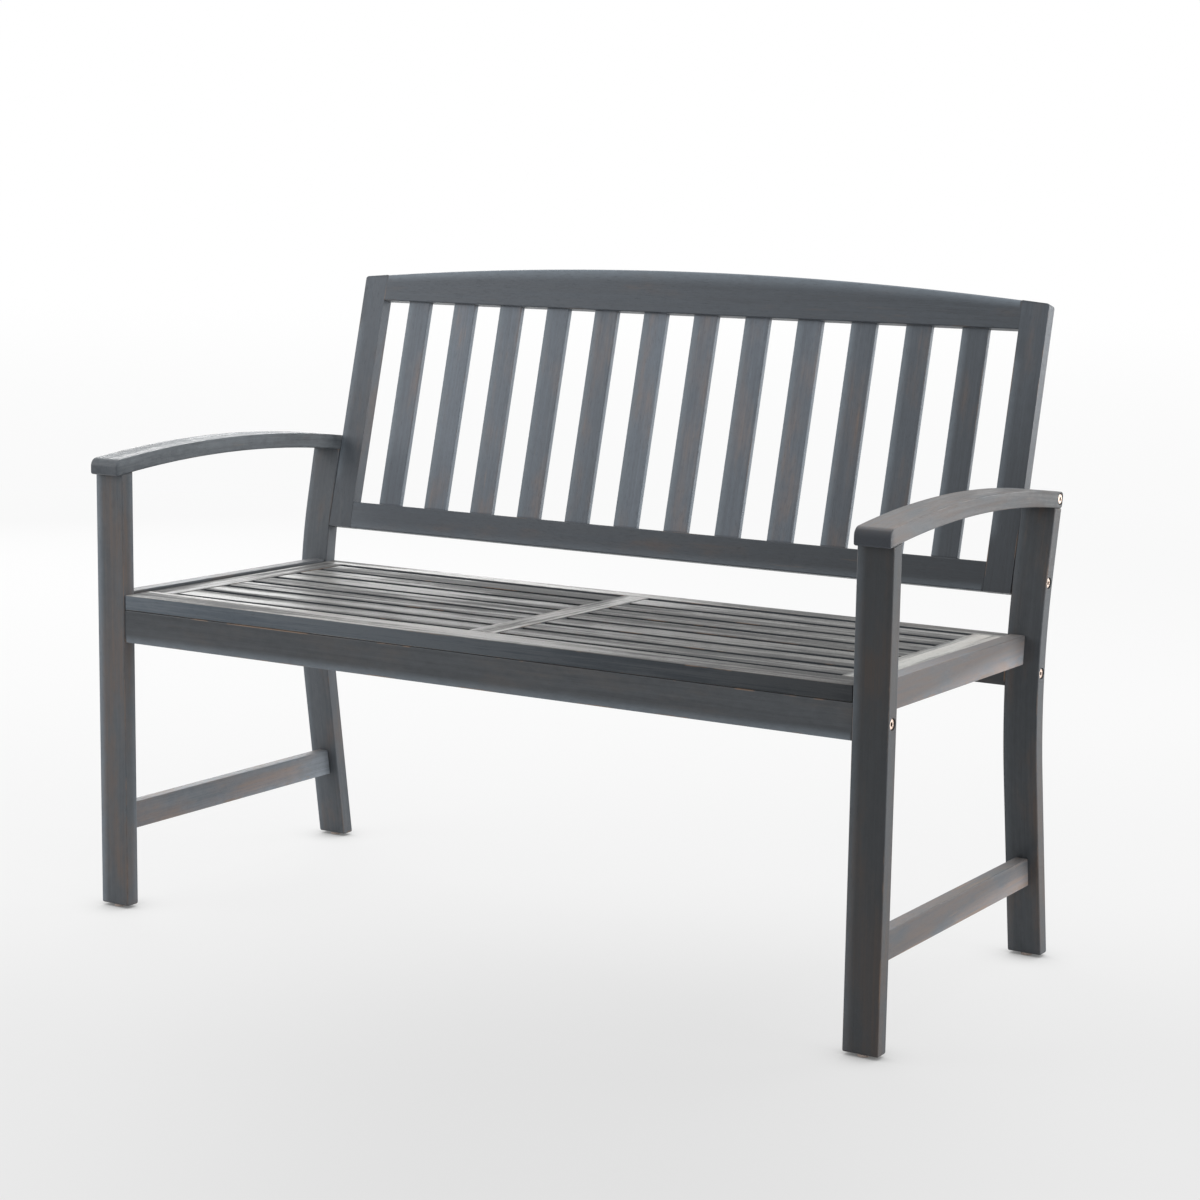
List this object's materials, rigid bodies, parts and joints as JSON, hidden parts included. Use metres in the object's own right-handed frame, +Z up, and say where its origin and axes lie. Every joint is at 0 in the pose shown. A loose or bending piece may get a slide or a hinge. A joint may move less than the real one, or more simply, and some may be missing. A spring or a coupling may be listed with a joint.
{
  "type": "garden bench",
  "caption": "Slatted wooden garden bench with a leaning slatted back under an arched crest rail, arched armrests, bent rear legs, side stretchers and bolted joints.",
  "frame": {"origin": "on the floor, in the middle of the bench's bounding box seen from above", "axes": "+Z up, +X to the right of someone facing the front of the bench, +Y from its front to its back"},
  "size_m": [1.22, 0.6012, 0.9033],
  "materials": {
    "leg_wood": "worn grey stain, matt, lengthwise grain",
    "arm_wood": "worn grey stain, matt, lengthwise grain",
    "seat_wood": "worn grey stain, matt, lengthwise grain",
    "back_wood": "worn grey stain, matt, lengthwise grain",
    "apron_wood": "worn grey stain, matt, lengthwise grain",
    "bolt_bronze": "dull bronze plating",
    "glide_plastic": "matt pinkish brown"
  },
  "bodies": {
    "root": {"arm_bolt_left": "bolt_bronze", "arm_bolt_right": "bolt_bronze", "armrest_left": "arm_wood", "armrest_right": "arm_wood", "back_bolt_left": "bolt_bronze", "back_bolt_right": "bolt_bronze", "back_bottom_rail": "back_wood", "back_crest_rail": "back_wood", "back_slat_01": "back_wood", "back_slat_02": "back_wood", "back_slat_03": "back_wood", "back_slat_04": "back_wood", "back_slat_05": "back_wood", "back_slat_06": "back_wood", "back_slat_07": "back_wood", "back_slat_08": "back_wood", "back_slat_09": "back_wood", "back_slat_10": "back_wood", "back_slat_11": "back_wood", "back_slat_12": "back_wood", "back_stile_left": "back_wood", "back_stile_right": "back_wood", "front_apron": "apron_wood", "front_apron_bolt_left": "bolt_bronze", "front_apron_bolt_right": "bolt_bronze", "front_glide_left": "glide_plastic", "front_glide_right": "glide_plastic", "front_leg_left": "leg_wood", "front_leg_right": "leg_wood", "rear_apron": "apron_wood", "rear_apron_bolt_left": "bolt_bronze", "rear_apron_bolt_right": "bolt_bronze", "rear_glide_left": "glide_plastic", "rear_glide_right": "glide_plastic", "rear_leg_left": "leg_wood", "rear_leg_right": "leg_wood", "seat_centre_rail": "seat_wood", "seat_end_rail_left": "seat_wood", "seat_end_rail_right": "seat_wood", "seat_front_rail": "seat_wood", "seat_rear_rail": "seat_wood", "seat_slat_left_1": "seat_wood", "seat_slat_left_2": "seat_wood", "seat_slat_left_3": "seat_wood", "seat_slat_left_4": "seat_wood", "seat_slat_left_5": "seat_wood", "seat_slat_left_6": "seat_wood", "seat_slat_left_7": "seat_wood", "seat_slat_right_1": "seat_wood", "seat_slat_right_2": "seat_wood", "seat_slat_right_3": "seat_wood", "seat_slat_right_4": "seat_wood", "seat_slat_right_5": "seat_wood", "seat_slat_right_6": "seat_wood", "seat_slat_right_7": "seat_wood", "side_apron_left": "leg_wood", "side_apron_right": "leg_wood", "side_stretcher_left": "leg_wood", "side_stretcher_right": "leg_wood"}
  },
  "joints": []
}
